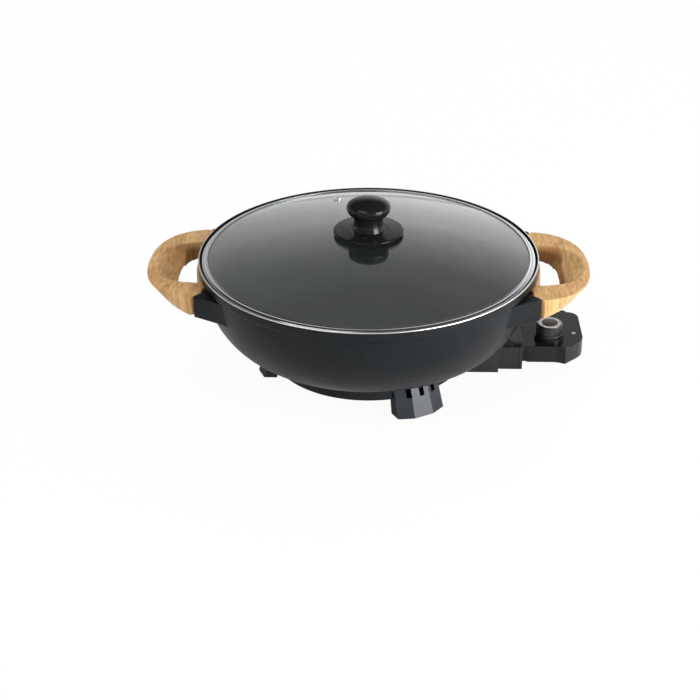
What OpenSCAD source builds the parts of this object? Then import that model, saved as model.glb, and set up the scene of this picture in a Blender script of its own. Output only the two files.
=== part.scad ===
// Electric wok: cast pan on a three-legged base, laminated wood handles,
// lift-off glass lid and a plug-in temperature control.
// Millimetres. Origin on the table under the bowl's axis, +Z up, +X towards the control.

/* [Pan] */
// Outer radius of the rim
rim_r = 180.5; // [172:0.5:190]
// Height of the bowl's flat bottom above the table
bowl_z = 37.4; // [36.5:0.1:40]
// Outside depth of the bowl, from the rim to the flat bottom
bowl_depth = 101.6; // [92:0.2:112]
// Wall thickness of the casting
pan_wall = 3.8; // [3:0.1:4.5]
// Radius of the flat bottom
flat_r = 92; // [88:0.5:96]
// Fullness of the bowl: how far the flat bottom pulls the curved wall outwards
belly = 86; // [76:1:90]
// Width of the rim's top face
rim_wall = 2; // [1.6:0.1:3]
// Height of the thickened rim
rim_band_h = 9.5; // [9:0.1:11]
// How far the bowl wall stands in from the rim
wall_inset = 2.9; // [2:0.1:3.5]
// Depth of the lid seat below the rim
seat_depth = 8.6; // [8.2:0.1:9]

/* [Lugs] */
// Angle of a lug's tip from the handle axis
lug_angle = 25; // [23:0.5:27]
// How far a lug's tip stands out of the rim
lug_proud = 17.3; // [14:0.1:20]
// Height of a lug
lug_h = 23.4; // [20:0.2:26]
// Top of a lug below the rim
lug_drop = 11.8; // [11.4:0.1:14]

/* [Handles] */
// How far a handle's tip stands out of the rim
handle_proud = 54.5; // [50:0.5:60]
// Height of a handle at its tip
handle_tip_h = 15.5; // [13:0.5:20]
// How far the handle's underside draws in below its top edge, at the tip
handle_flare = 6; // [3:0.5:9]
// Width of the top face at the tip
handle_top_w = 7.5; // [6:0.5:10]
// Width of the bottom face at the tip
handle_bottom_w = 24; // [20:0.5:28]
// Half the length of the hand hole
hole_half = 49; // [44:0.5:54]
// half length of the hand hole along the handle's underside
hole_low_half = 58.5; // [50:0.5:60]
// width of the underside between the hand hole and the tip, added to the wood's
hole_low_w = 8.4; // [7:0.1:10]
// Thickness of the inner bar that follows the bowl
bar_w = 4; // [3.5:0.1:6]
// Radius of the steel studs that join handle and lug
stud_r = 3; // [2:0.1:4]
// Length of a stud
stud_len = 26; // [20:1:30]

/* [Base] */
// Outer radius of the base ring
ring_r = 104.5; // [102:0.5:107]
// Height of the base ring's bottom above the table
ring_z = 19; // [17:0.5:21]
// Wall thickness of the base ring
ring_wall = 3; // [2.4:0.1:4]
// Thickness of the base ring's flange
flange_t = 2.5; // [2:0.1:3]
// Inner radius of the base ring's flange
flange_in_r = 77; // [75:0.5:79]
// Radius of the base screws' circle
screw_pcr = 85; // [84:0.2:86]
// Radius of the steel heat plate
heat_plate_r = 90; // [89:0.2:91]

/* [Feet] */
// Reach of a foot at the table
foot_reach = 120; // [116:0.5:124]
// Reach of a foot at its top
foot_top_reach = 107; // [105:0.5:108]
// Half width of a foot at the table
foot_half = 27.3; // [24:0.1:30]
// Half width of a foot's outer face
foot_face_half = 11; // [9:0.1:12]
// Wall thickness of a foot
foot_wall = 2.6; // [2:0.1:3]
// Width of the slots in a foot
slot_w = 5.4; // [3.5:0.1:6]
// Distance between the slots in a foot
slot_pitch = 14.6; // [12:0.1:15]
// How far the row of slots stands to one side of the foot's middle
slot_shift = 2; // [0:0.1:2.5]
// Radius of a rubber pad
pad_r = 5; // [4:0.1:6]
// How far a pad stands out of its foot
pad_proud = 1; // [0.6:0.1:1.5]

/* [Heating] */
// Radius of the heating element's ring
element_ring_r = 70; // [67:0.5:72]
// Radius of the element's tube
element_r = 3.6; // [3:0.1:4]
// Distance between the two terminals
terminal_pitch = 29; // [27:0.5:29.5]
// Radius of a terminal pin
pin_r = 2.4; // [2:0.1:2.8]
// Radius of the temperature probe
probe_r = 3; // [2.5:0.1:3.3]

/* [Socket guard] */
// Half width of the guard under the bowl
block_half = 41; // [39:0.5:43]
// Half width of the guard's mouth
mouth_half = 33.5; // [31:0.5:36]
// End of the guard's mouth
mouth_x = 165.5; // [163:0.5:167]
// Where the wide part ends and the mouth begins
block_x = 139.5; // [136:0.5:142]
// Height of the mouth
mouth_h = 26; // [25:0.5:28]
// Wall thickness of the guard
guard_wall = 2.5; // [2:0.1:3]

/* [Lid] */
// Height of the glass's crown above the rim
crown_h = 24.5; // [22:0.5:28]
// Thickness of the glass
glass_t = 3.8; // [3.4:0.1:4]
// Width of the steel band as seen from above
band_w = 6.5; // [5:0.1:9]
// Thickness of the band's sheet
band_t = 0.9; // [0.6:0.05:1]
// Gap between the band and the rim, all round
lid_gap = 1.2; // [0.8:0.1:2]
// Distance of the steam vent from the axis
vent_pos_r = 122; // [110:1:130]
// Radius of the steam vent's hole in the glass
vent_r = 4; // [3:0.1:5]

/* [Lid knob] */
// Radius of the knob's cap
cap_r = 23.4; // [21:0.1:26]
// Radius of the knob's neck
neck_r = 15.5; // [13:0.1:17]
// Height of the knob above its disc
knob_h = 34.5; // [31:0.5:38]
// Radius of the finger guard disc
disc_r = 37.4; // [34:0.2:40]
// Thickness of the disc's edge
disc_t = 3.4; // [2.6:0.1:4]
// Radius of the knob's screw
knob_screw_r = 2.5; // [2:0.1:3]

/* [Temperature control] */
// Underside of the control above the table
control_z = 19.8; // [19:0.1:21]
// Height of the housing
control_h = 19.6; // [19:0.1:21]
// Wall thickness of the housing
shell_t = 2.2; // [1.8:0.1:2.5]
// Half width of the plug
plug_half = 21; // [20:0.2:23]
// Front end of the plug
plug_x = 141; // [140:0.2:143]
// Where the main housing begins
body_x = 171; // [169:0.2:173]
// Right end of the housing
body_end_x = 233.5; // [228:0.5:235]
// Back of the housing
body_back_y = 60; // [54:0.5:64]
// Rounding of the housing's back corner
corner_r = 12; // [6:0.5:14]
// Place of the dial along X
dial_x = 196.5; // [194:0.1:200]
// Radius of the dial
dial_r = 14.4; // [13:0.1:16]
// Height of the dial above its collar
dial_h = 13.5; // [11:0.1:16]
// Height of the collar under the dial
collar_h = 4; // [2:0.1:5]
// Radius of the dial's shaft
shaft_r = 3; // [2.5:0.1:3.5]
// Outer radius of the cord gland
gland_r = 6; // [5.4:0.1:7]
// Radius of the gland's bore
gland_bore_r = 3.6; // [3:0.1:4]
// Length of the gland outside the housing
gland_len = 13; // [10:0.5:16]

/* [Hidden] */
$fn = 96;

// Clearances
fit_gap = 0.05;      // shaft or screw in its own hole, on the radius
seat_gap = 0.3;      // between a loose piece and what it rests on
face_gap = 0.1;      // between two fixed faces
slip_gap = 0.4;      // round a piece that is fitted by hand
eps = 0.01;          // overlap that makes a clean cut

// Levels
rim_z = bowl_z + bowl_depth;
seat_z = rim_z - seat_depth;
wall_r = rim_r - wall_inset;
wall_z = rim_z - rim_band_h - wall_inset;
lug_top = rim_z - lug_drop;
lug_bottom = lug_top - lug_h;
flange_top = ring_z + flange_t;
tab_t = 2.5;
tab_z = flange_top + face_gap;
plate_t = 1;
plate_z = tab_z + tab_t + face_gap;
plate_slot_r = 30;
plate_slot_l = 24;
plate_slot_w = 4;
boss_z = plate_z + plate_t + face_gap;
base_bite = 8;                        // thread length in the bosses
guard_bite = 5;

// Bowl outline: one curve from under the rim to the flat bottom, grown outwards by g
curve_steps = 18;
function bezier(a, b, c, d, t) =
    pow(1 - t, 3) * a + 3 * pow(1 - t, 2) * t * b + 3 * (1 - t) * t * t * c + pow(t, 3) * d;
function bowl_curve(g, n = curve_steps) = [for (i = [0 : n])
    bezier([wall_r + g, wall_z], [wall_r + g, wall_z - 2], [flat_r + belly + g, bowl_z - g],
        [flat_r, bowl_z - g], i / n)];

// Lugs and handles
lug_tip_r = rim_r + lug_proud;
tip_x = lug_tip_r * cos(lug_angle);
tip_y = lug_tip_r * sin(lug_angle);
joint_c = tip_x - tip_y;              // the joint planes are x - |y| = joint_c
lug_face = 50;
lug_face_turn = 28;                   // from the handle axis
root_x = rim_r - 10.5;
handle_reach = rim_r + handle_proud;
handle_top = lug_top - 0.2;
wood_in_r = rim_r - 2;
// Middle of a joint plane, between the bowl and the lug's tip
joint_in_x = (joint_c + sqrt(2 * pow(wood_in_r, 2) - pow(joint_c, 2))) / 2;
joint_x = (joint_in_x + tip_x) / 2;
joint_y = joint_x - joint_c;
outline_steps = 28;
// Half superellipse on the +X side of x = start: a wide, b half length, p squareness
function dee(start, a, b, p) = [for (i = [0 : outline_steps])
    let (w = -90 + 180 * i / outline_steps)
    [start + a * pow(cos(w), 2 / p), b * sign(sin(w)) * pow(abs(sin(w)), 2 / p)]];

// Lid
dome_edge_r = rim_r - rim_wall - lid_gap - band_w;
band_r = dome_edge_r + band_w;
crown_z = rim_z + crown_h;
dome_drop = crown_h + 0.3;
dome_r = (pow(dome_drop, 2) + pow(dome_edge_r, 2)) / (2 * dome_drop);
function dome(r) = crown_z - dome_r + sqrt(pow(dome_r, 2) - r * r);
glass_r = band_r - band_t - 0.15;
dome_steps = 20;
vent_angle = 108;
disc_z = crown_z + 0.8;               // the seal fills the gap under the disc
knob_z = disc_z + disc_t;
knob_top = knob_z + knob_h;
glass_hole_r = 4.2;

// Feet
foot_angles = [180, -60, 60];
foot_z = pad_proud;
foot_top = ring_z + 15;
foot_in = 99;
foot_top_in = 91.5;
foot_top_half = 26;
web_y = slot_pitch / 2;               // two webs inside a foot, between its slots
pad_pos_r = 109;
boss_r = 5;
thread_r = 2;
head_r = 3.6;
head_h = 2.4;

// Heating parts
element_z = bowl_z - element_r - 0.2;
lead_r = element_r + 0.6;
terminal_z = bowl_z - lead_r - face_gap;
terminal_y = terminal_pitch / 2;
lead_end_x = 126;
pin_end_x = 160;
guide_r = probe_r + 1.8;
guide_z = bowl_z - guide_r - 0.2;
guide_start_x = 58;
guide_end_x = 134;

// Socket guard
guard_z = ring_z - 1;
block_start_x = 92;
guard_post_x = block_x - 15.5;
guard_post_y = block_half - 8;
guard_boss_z = 36;
bead_w = 3;
bead_h = 0.9;

// Temperature control
control_top = control_z + control_h;
split_z = control_z + control_h / 2;
dial_z = control_top + collar_h + 0.3;
collar_r = dial_r + 1.6;
grip_x = 212.5;
grip_y = -25.5;
lens_x = 224;
lens_y = 10;
lens_r = 2.6;
lamp_z = control_z + 7.8;
gland_x = 218.5;
gland_z = split_z;
post_r = 3.4;
control_posts = [[178, -13], [226, -3], [203, 50]];
plug_z = guard_z + guard_wall + slip_gap;      // the plug clears the guard's floor
clamp_pitch = 12.8;
clamp_y = body_back_y - 16.5;
clamp_z = split_z + 3.2;

module ring(outer, inner, h) {
    difference() {
        cylinder(r = outer, h = h);
        translate([0, 0, -eps]) cylinder(r = inner, h = h + 2 * eps);
    }
}

module at_feet() {
    for (a = foot_angles) rotate([0, 0, a]) children();
}

// Places of the two screws that hold the socket guard
module guard_posts() {
    for (s = [-1, 1]) translate([guard_post_x, s * guard_post_y, 0]) children();
}

module four_corners() {
    for (sx = [0, 1], sy = [0, 1]) mirror([sx, 0, 0]) mirror([0, sy, 0]) children();
}

// Solid under the bowl's outside, grown by g
module bowl_solid(g) {
    rotate_extrude() polygon(concat([[0, rim_z + 1], [wall_r + g, rim_z + 1]], bowl_curve(g),
        [[0, bowl_z - g]]));
}

// Pan head screw standing on its head at z = 0, shaft upwards
module screw(r, length) {
    translate([0, 0, -head_h]) cylinder(r = head_r, h = head_h);
    translate([0, 0, -eps]) cylinder(r = r, h = length + eps);
}

// ---- Pan ----

module pan() {
    inside = bowl_curve(-pan_wall);
    color([0.13, 0.14, 0.15]) rotate_extrude() polygon(concat(
        [[rim_r - rim_wall, seat_z], [rim_r - rim_wall, rim_z], [rim_r, rim_z],
        [rim_r, rim_z - rim_band_h]],
        bowl_curve(0),
        [[0, bowl_z], [0, bowl_z + pan_wall]],
        [for (i = [curve_steps : -1 : 0]) inside[i]],
        [[wall_r - pan_wall, seat_z]]));
}

// Stud lying across a joint plane, from the lug into the wood
module stud_shape(r, length) {
    translate([joint_x, joint_y, lug_bottom + lug_h / 2]) rotate([0, 0, -45]) rotate([0, 90, 0])
        cylinder(r = r, h = length, center = true);
}

// Lugs with a flat outer face that runs back onto the bowl; the front face is the joint plane
module handle_lugs() {
    inner_r = rim_r - 22;
    color([0.13, 0.14, 0.15]) difference() {
        four_corners() translate([0, 0, lug_bottom]) linear_extrude(lug_h) polygon([
            [tip_x, tip_y],
            [tip_x - lug_face * cos(lug_face_turn), tip_y + lug_face * sin(lug_face_turn)],
            [inner_r * cos(lug_angle + 21), inner_r * sin(lug_angle + 21)],
            [joint_c + 50, 50]]);
        bowl_solid(face_gap);
        four_corners() stud_shape(stud_r + fit_gap, stud_len + 2 * face_gap);
    }
}

// Threaded bosses welded under the bowl, for the base and for the socket guard
module fixing_bosses() {
    color([0.5, 0.5, 0.5]) difference() {
        union() {
            at_feet() translate([screw_pcr, 0, boss_z])
                cylinder(r = boss_r, h = bowl_z - face_gap - boss_z);
            guard_posts() translate([0, 0, guard_boss_z]) cylinder(r = boss_r, h = 30);
        }
        bowl_solid(face_gap);
        at_feet() translate([screw_pcr, 0, boss_z - 1])
            cylinder(r = thread_r + fit_gap, h = bowl_z - boss_z);
        guard_posts() translate([0, 0, guard_boss_z - 1])
            cylinder(r = thread_r + fit_gap, h = 7);
    }
}

// ---- Heating parts ----

// Ring under the bowl, open towards the control, with a thicker cold lead at each end
module heating_element() {
    corner_x = sqrt(pow(element_ring_r, 2) - pow(terminal_y, 2));
    lead_x = corner_x - lead_r - 0.2;
    color([0.45, 0.44, 0.42]) {
        difference() {
            translate([0, 0, element_z]) rotate_extrude()
                translate([element_ring_r, 0]) circle(r = element_r);
            translate([0, -terminal_y, element_z - element_r - 1])
                cube([element_ring_r + 10, terminal_pitch, 2 * element_r + 2]);
        }
        for (s = [-1, 1]) translate([lead_x, s * terminal_y, terminal_z]) rotate([0, 90, 0])
            cylinder(r = lead_r, h = lead_end_x - lead_x);
    }
}

module terminal_pins() {
    color([0.75, 0.74, 0.7]) for (s = [-1, 1])
        translate([lead_end_x + face_gap, s * terminal_y, terminal_z]) rotate([0, 90, 0])
            cylinder(r = pin_r, h = pin_end_x - lead_end_x - face_gap);
}

module probe_guide() {
    color([0.6, 0.6, 0.6]) translate([guide_start_x, 0, guide_z]) rotate([0, 90, 0])
        ring(guide_r, probe_r + 0.5, guide_end_x - guide_start_x);
}

// ---- Base ----

// Outline of a foot in its own radial frame, drawn at one level
module foot_outline(inner, outer, face_half, half) {
    corner = outer - 7;
    polygon([[inner, -half], [corner, -half], [outer, -face_half], [outer, face_half],
        [corner, half], [inner, half]]);
}

// Tapered body of a foot, drawn in by g on every side
module foot_body(g, extra_top = 0) {
    slab = 0.1;
    hull() {
        translate([0, 0, foot_z + g]) linear_extrude(slab)
            foot_outline(foot_in + g, foot_reach - g, foot_face_half - g / 2, foot_half - g);
        translate([0, 0, foot_top - slab + extra_top]) linear_extrude(slab)
            foot_outline(foot_top_in + g, foot_top_reach - g, foot_face_half - 1 - g / 2,
                foot_top_half - g);
    }
}

module foot() {
    slot_z = ring_z + 2;
    color([0.2, 0.21, 0.22]) difference() {
        union() {
            difference() {
                foot_body(0);
                foot_body(foot_wall, foot_wall);
                for (s = [-1 : 1])
                    translate([foot_top_in + foot_wall + 2,
                        slot_shift + s * slot_pitch - slot_w / 2, slot_z])
                        cube([30, slot_w, 30]);
            }
            intersection() {
                foot_body(foot_wall / 2);
                for (s = [-1, 1]) translate([0, slot_shift + s * web_y - 1, foot_z])
                    cube([150, 2, 40]);
            }
            translate([screw_pcr - 5, -8, tab_z]) cube([foot_in - screw_pcr, 16, tab_t]);
        }
        translate([screw_pcr, 0, tab_z - 1]) cylinder(r = thread_r + seat_gap, h = tab_t + 2);
        translate([pad_pos_r, 0, foot_z - 1]) cylinder(r = pad_r - 1.2, h = foot_wall + 2);
        bowl_solid(seat_gap);
    }
}

module foot_left() { rotate([0, 0, foot_angles[0]]) foot(); }
module foot_front() { rotate([0, 0, foot_angles[1]]) foot(); }
module foot_rear() { rotate([0, 0, foot_angles[2]]) foot(); }

// Rubber buttons: a disc under the foot and a stem through its floor
module foot_pads() {
    color([0.08, 0.08, 0.08]) at_feet() translate([pad_pos_r, 0, 0]) {
        cylinder(r = pad_r, h = pad_proud);
        translate([0, 0, pad_proud - eps])
            cylinder(r = pad_r - 1.2 - fit_gap, h = foot_wall + 1);
    }
}

module guard_envelope(g) {
    translate([block_start_x - g, -block_half - g, guard_z - g])
        cube([block_x - block_start_x + 2 * g, 2 * (block_half + g), 40]);
}

module base_ring() {
    vents = 24;
    color([0.09, 0.09, 0.1]) difference() {
        union() {
            translate([0, 0, ring_z]) ring(ring_r, ring_r - ring_wall, bowl_z - ring_z + 10);
            translate([0, 0, ring_z]) ring(ring_r, flange_in_r, flange_t);
        }
        bowl_solid(seat_gap);
        at_feet() translate([-seat_gap, 0, 0]) foot_notch();
        guard_envelope(seat_gap);
        at_feet() translate([screw_pcr, 0, ring_z - 1])
            cylinder(r = thread_r + seat_gap, h = flange_t + 2);
        for (i = [0 : vents - 1]) rotate([0, 0, 360 / vents * (i + 0.5)])
            translate([flange_in_r + 6, -1.5, ring_z - 1]) cube([14, 3, flange_t + 2]);
    }
}

// Room for a foot in the base ring
module foot_notch() {
    half = foot_half;
    translate([foot_top_in - 0.5, -half, ring_z - 1]) cube([20, 2 * half, 40]);
}

module heat_plate() {
    color([0.7, 0.7, 0.7]) difference() {
        translate([0, 0, plate_z]) cylinder(r = heat_plate_r, h = plate_t);
        at_feet() translate([screw_pcr, 0, plate_z - 1])
            cylinder(r = thread_r + seat_gap, h = plate_t + 2);
        for (i = [0 : 11]) rotate([0, 0, 30 * i]) translate([plate_slot_r, -plate_slot_w / 2, plate_z - 1])
            cube([plate_slot_l, plate_slot_w, plate_t + 2]);
    }
}

module base_screws() {
    color([0.75, 0.75, 0.75]) at_feet() translate([screw_pcr, 0, ring_z - face_gap])
        screw(thread_r, boss_z - ring_z + base_bite);
}

// ---- Socket guard ----

module guard_shell(g) {
    translate([block_start_x - (g > 0 ? 1 : 0), -block_half + g, guard_z + g])
        cube([block_x - block_start_x + (g > 0 ? 1 - g : 0), 2 * (block_half - g), 40]);
    translate([block_x - 2 * guard_wall, -mouth_half + g, guard_z + g])
        cube([mouth_x - block_x + 2 * guard_wall + (g > 0 ? 1 : 0), 2 * (mouth_half - g),
            mouth_h - 2 * g]);
}

module socket_guard() {
    color([0.08, 0.08, 0.09]) difference() {
        union() {
            difference() {
                union() {
                    guard_shell(0);
                    // raised bead round the mouth's end
                    translate([mouth_x - bead_w, -mouth_half - bead_h, guard_z + guard_wall])
                        cube([bead_w, 2 * (mouth_half + bead_h), mouth_h - guard_wall + bead_h]);
                }
                guard_shell(guard_wall);
            }
            guard_posts() translate([0, 0, guard_z])
                cylinder(r = boss_r, h = guard_boss_z - face_gap - guard_z);
        }
        bowl_solid(seat_gap);
        guard_posts() translate([0, 0, guard_z - 1]) cylinder(r = thread_r + seat_gap, h = 40);
    }
}

module guard_screws() {
    color([0.75, 0.75, 0.75]) guard_posts() translate([0, 0, guard_z - face_gap])
        screw(thread_r, guard_boss_z - guard_z + guard_bite);
}

// ---- Handles ----

module handle() {
    slab = 0.1;
    root_drop = lug_h - 0.2;
    color([0.78, 0.6, 0.4]) difference() {
        hull() {
            translate([0, 0, handle_top - slab]) linear_extrude(slab)
                polygon(dee(root_x, handle_reach - root_x, tip_y + 0.9, 2.4));
            // the underside rises from the root to the tip
            translate([root_x - 5, 0, handle_top - root_drop])
                rotate([0, -atan((root_drop - handle_tip_h) / (handle_reach - root_x)), 0])
                    linear_extrude(slab)
                        polygon(dee(0, handle_reach - handle_flare - root_x + 5, tip_y + 6.3, 1.65));
        }
        hull() {
            translate([0, 0, handle_top + 4])
                linear_extrude(slab)
                    polygon(dee(root_x - 8, handle_reach + 5.8 - handle_top_w - root_x + 8,
                        hole_half, 2.7));
            translate([0, 0, handle_top - root_drop])
                linear_extrude(slab)
                    polygon(dee(root_x - 8, handle_reach - handle_flare - handle_bottom_w - hole_low_w
                        - root_x + 8, hole_low_half, 2.6));
        }
        // bowl side, kept as a bar that follows the pan
        translate([0, 0, lug_bottom - 5]) cylinder(r = wood_in_r, h = lug_h + 20);
    }
}

module placed_handle() {
    far = 160;
    intersection() {
        union() {
            handle();
            intersection() {
                handle_bar();
                translate([0, -hole_half - 12, lug_bottom - 5])
                    cube([handle_reach, 2 * hole_half + 24, lug_h + 10]);
            }
        }
        translate([0, 0, lug_bottom - 5]) linear_extrude(lug_h + 20)
            polygon([[joint_c + face_gap, 0], [joint_c + face_gap + far, far],
                [joint_c + face_gap + far, -far]]);
    }
}

module handle_bar() {
    color([0.78, 0.6, 0.4]) translate([0, 0, lug_bottom + 0.2 + 5])
        ring(wood_in_r + bar_w, wood_in_r, handle_top - lug_bottom - 0.2 - 5);
}

module wood_handle() {
    difference() {
        placed_handle();
        for (s = [0, 1]) mirror([0, s, 0]) stud_shape(stud_r + fit_gap, stud_len + 2 * face_gap);
    }
}

module handle_right() { wood_handle(); }
module handle_left() { mirror([1, 0, 0]) wood_handle(); }

module handle_studs() {
    color([0.7, 0.7, 0.7]) four_corners() stud_shape(stud_r, stud_len);
}

// ---- Lid ----

module lid_glass() {
    top = [for (i = [0 : dome_steps])
        let (r = glass_hole_r + (glass_r - glass_hole_r) * i / dome_steps) [r, dome(r)]];
    bottom = [for (i = [dome_steps : -1 : 0]) [top[i][0], top[i][1] - glass_t]];
    color([0.75, 0.82, 0.83, 0.35]) difference() {
        rotate_extrude() polygon(concat(top, bottom));
        rotate([0, 0, vent_angle]) translate([vent_pos_r, 0, rim_z - 5])
            cylinder(r = vent_r, h = crown_h + 10);
    }
}

// Rolled steel channel round the edge of the glass
module lid_band() {
    lift = 0.15;
    shoulder_r = band_r - 1.2;
    low = seat_z + seat_gap;
    top_in = dome(dome_edge_r) + lift;
    top_out = dome(glass_r) + lift;
    color([0.85, 0.85, 0.85]) rotate_extrude() polygon([[dome_edge_r, top_in],
        [dome_edge_r, top_in + band_t], [shoulder_r, dome(shoulder_r) + lift + band_t],
        [band_r - 0.3, dome(shoulder_r) + lift + band_t - 0.5],
        [band_r, dome(shoulder_r) + lift + band_t - 1.3], [band_r, low],
        [dome_edge_r + 1, low], [dome_edge_r + 1, low + band_t], [band_r - band_t, low + band_t],
        [band_r - band_t, top_out], [glass_r, top_out]]);
}

module vent_grommet() {
    z = dome(vent_pos_r);
    color([0.8, 0.8, 0.8]) rotate([0, 0, vent_angle]) translate([vent_pos_r, 0, z]) difference() {
        union() {
            translate([0, 0, 1.4]) cylinder(r = vent_r + 1.4, h = 0.9);
            translate([0, 0, -glass_t - 1.4 - 0.9]) cylinder(r = vent_r + 1.4, h = 0.9);
            translate([0, 0, -glass_t - 1.4 - 0.5]) cylinder(r = vent_r - fit_gap, h = glass_t + 3.8);
        }
        translate([0, 0, -20]) cylinder(r = vent_r - 1.2, h = 40);
    }
}

// Turned knob: small flared foot, straight neck and crowned cap
module lid_knob() {
    foot_r = neck_r + 2;
    waist_z = knob_z + 0.2 * knob_h;
    under_z = knob_z + 0.44 * knob_h;
    wide_z = knob_z + 0.72 * knob_h;
    cap_rise = knob_top - wide_z;
    flare = [for (i = [0 : 6]) let (t = i / 6)
        [foot_r - (foot_r - neck_r) * sin(90 * t), knob_z + face_gap + (waist_z - knob_z) * t]];
    under = [for (i = [1 : 6]) let (t = i / 6)
        [neck_r + (cap_r - neck_r) * sin(90 * t), under_z + (wide_z - under_z) * (1 - cos(90 * t))]];
    crown = [for (i = [1 : 12]) let (w = 90 * i / 12) [cap_r * cos(w), wide_z + cap_rise * sin(w)]];
    color([0.04, 0.04, 0.05]) difference() {
        rotate_extrude() polygon(concat([[0, knob_z + face_gap]], flare, [[neck_r, under_z]],
            under, crown));
        translate([0, 0, knob_z - 1]) cylinder(r = knob_screw_r + fit_gap, h = knob_h * 0.6 + 1);
    }
}

module knob_disc() {
    hub_r = neck_r + 5.5;
    color([0.04, 0.04, 0.05]) difference() {
        rotate_extrude() polygon([[0, disc_z], [disc_r - 1, disc_z], [disc_r, disc_z + 0.8],
            [disc_r, disc_z + disc_t - 1.6], [disc_r - 1.2, disc_z + disc_t - 0.9],
            [hub_r, disc_z + disc_t], [0, disc_z + disc_t]]);
        translate([0, 0, disc_z - 1]) cylinder(r = knob_screw_r + 0.2, h = disc_t + 2);
    }
}

module knob_seal() {
    color([0.1, 0.1, 0.1]) translate([0, 0, crown_z + face_gap])
        ring(14, knob_screw_r + 0.3, disc_z - crown_z - 2 * face_gap);
}

module knob_washer() {
    color([0.1, 0.1, 0.1]) translate([0, 0, crown_z - glass_t - face_gap - 3.2])
        ring(16, knob_screw_r + 0.3, 3.2 - 0.3);
}

module knob_screw() {
    washer_z = crown_z - glass_t - face_gap - 3.2 - face_gap;
    color([0.75, 0.75, 0.75]) {
        translate([0, 0, washer_z - 3]) cylinder(r = 5, h = 3);
        translate([0, 0, washer_z - eps])
            cylinder(r = knob_screw_r, h = knob_z + knob_h * 0.55 - washer_z);
    }
}

// ---- Temperature control ----

// Housing outline seen from above, drawn in by g
module control_outline(g) {
    back_x = 178;
    shoulder_x = mouth_x + 0.8;
    flank_y = mouth_half - 0.5;
    polygon(concat([[body_x + g, -plug_half - 0.5 + g], [200, -plug_half - 0.5 + g],
        [206, -plug_half - 1.6 + g], [grip_x - g * 0.4, grip_y + g * 1.1],
        [body_end_x - 7 - g, grip_y + 13.5], [body_end_x - 2 - g, grip_y + 20],
        [body_end_x - g, grip_y + 27]],
        [for (i = [0 : 6]) let (w = 90 * i / 6)
            [body_end_x - corner_r + (corner_r - g) * cos(w),
                body_back_y - corner_r + (corner_r - g) * sin(w)]],
        [[back_x + g, body_back_y - g], [back_x + g, flank_y + 6 - g * 0.4],
        [shoulder_x + g, flank_y - g * 0.8], [shoulder_x + g, plug_half + 0.5 + g],
        [body_x + g, plug_half + 0.5 + g]]));
}

// Plug, drawn in by g, cut off at the levels z and top
module plug(g, z, top) {
    translate([plug_x + g, -plug_half + g, z])
        cube([body_x - plug_x + shell_t + 0.5, 2 * (plug_half - g), top - z]);
}

// Grip grooves at the front corner
module grip_grooves(z, h) {
    for (i = [0 : 4]) translate([203.2 + 2.1 * i, grip_y - 4, z])
        cube([0.8, 4.4 + 0.2 * (4 - i), h]);
}

// Holes in the plug's face, and the gland's seat in the back wall
module control_holes() {
    for (s = [-1, 1]) translate([plug_x - 1, s * terminal_y, terminal_z]) rotate([0, 90, 0])
        cylinder(r = pin_r + 0.6, h = shell_t + 2);
    translate([plug_x - 1, 0, guide_z]) rotate([0, 90, 0])
        cylinder(r = probe_r + fit_gap, h = shell_t + 2);
    translate([gland_x, body_back_y - shell_t - 1, gland_z]) rotate([-90, 0, 0])
        cylinder(r = gland_r - 1.2 + fit_gap, h = shell_t + 2);
}

module control_base() {
    top = split_z - face_gap;
    color([0.05, 0.05, 0.06]) difference() {
        union() {
            difference() {
                union() {
                    translate([0, 0, control_z]) linear_extrude(top - control_z) control_outline(0);
                    plug(0, plug_z, top);
                }
                translate([0, 0, control_z + shell_t]) linear_extrude(control_h)
                    control_outline(shell_t);
                plug(shell_t, plug_z + shell_t, control_top);
            }
            for (p = control_posts) translate([p[0], p[1], control_z])
                cylinder(r = post_r, h = top - control_z);
            for (s = [-1, 1]) translate([gland_x + s * clamp_pitch / 2, clamp_y, control_z])
                cylinder(r = 2.4, h = clamp_z - face_gap - control_z);
            translate([lens_x - 3, lens_y - 3, control_z + 1])
                cube([6, 6, lamp_z - 2 - seat_gap - control_z - 1]);
        }
        control_holes();
        for (p = control_posts) translate([p[0], p[1], control_z - 1]) {
            cylinder(r = 1.7, h = control_h);
            cylinder(r = 3, h = 3);
        }
        for (s = [-1, 1]) translate([gland_x + s * clamp_pitch / 2, clamp_y, clamp_z - 8])
            cylinder(r = 1.3 + fit_gap, h = 10);
        grip_grooves(control_z + 2.5, control_h);
    }
}

module control_cover() {
    color([0.05, 0.05, 0.06]) difference() {
        union() {
            difference() {
                union() {
                    translate([0, 0, split_z]) linear_extrude(control_top - split_z)
                        control_outline(0);
                    plug(0, split_z, control_top);
                }
                translate([0, 0, split_z - 1])
                    linear_extrude(control_top - shell_t - split_z + 1) control_outline(shell_t);
                plug(shell_t, split_z - 1, control_top - shell_t);
            }
            translate([dial_x, 0, control_top - eps]) cylinder(r = collar_r, h = collar_h + eps);
            for (p = control_posts) translate([p[0], p[1], split_z])
                cylinder(r = post_r, h = control_h / 2 - 1);
        }
        control_holes();
        translate([dial_x, 0, split_z]) cylinder(r = shaft_r + fit_gap, h = control_h);
        translate([lens_x, lens_y, split_z]) cylinder(r = lens_r + fit_gap, h = control_h);
        for (p = control_posts) translate([p[0], p[1], split_z - 1])
            cylinder(r = 1.4 + fit_gap, h = control_h / 2 - 1.5);
        grip_grooves(control_z - 1, control_h - 1.5);
    }
}

module contact_sleeves() {
    color([0.8, 0.65, 0.3]) for (s = [-1, 1])
        translate([plug_x + shell_t + face_gap, s * terminal_y, terminal_z]) rotate([0, 90, 0])
            ring(pin_r + 0.9, pin_r + 0.1, 22);
}

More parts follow.
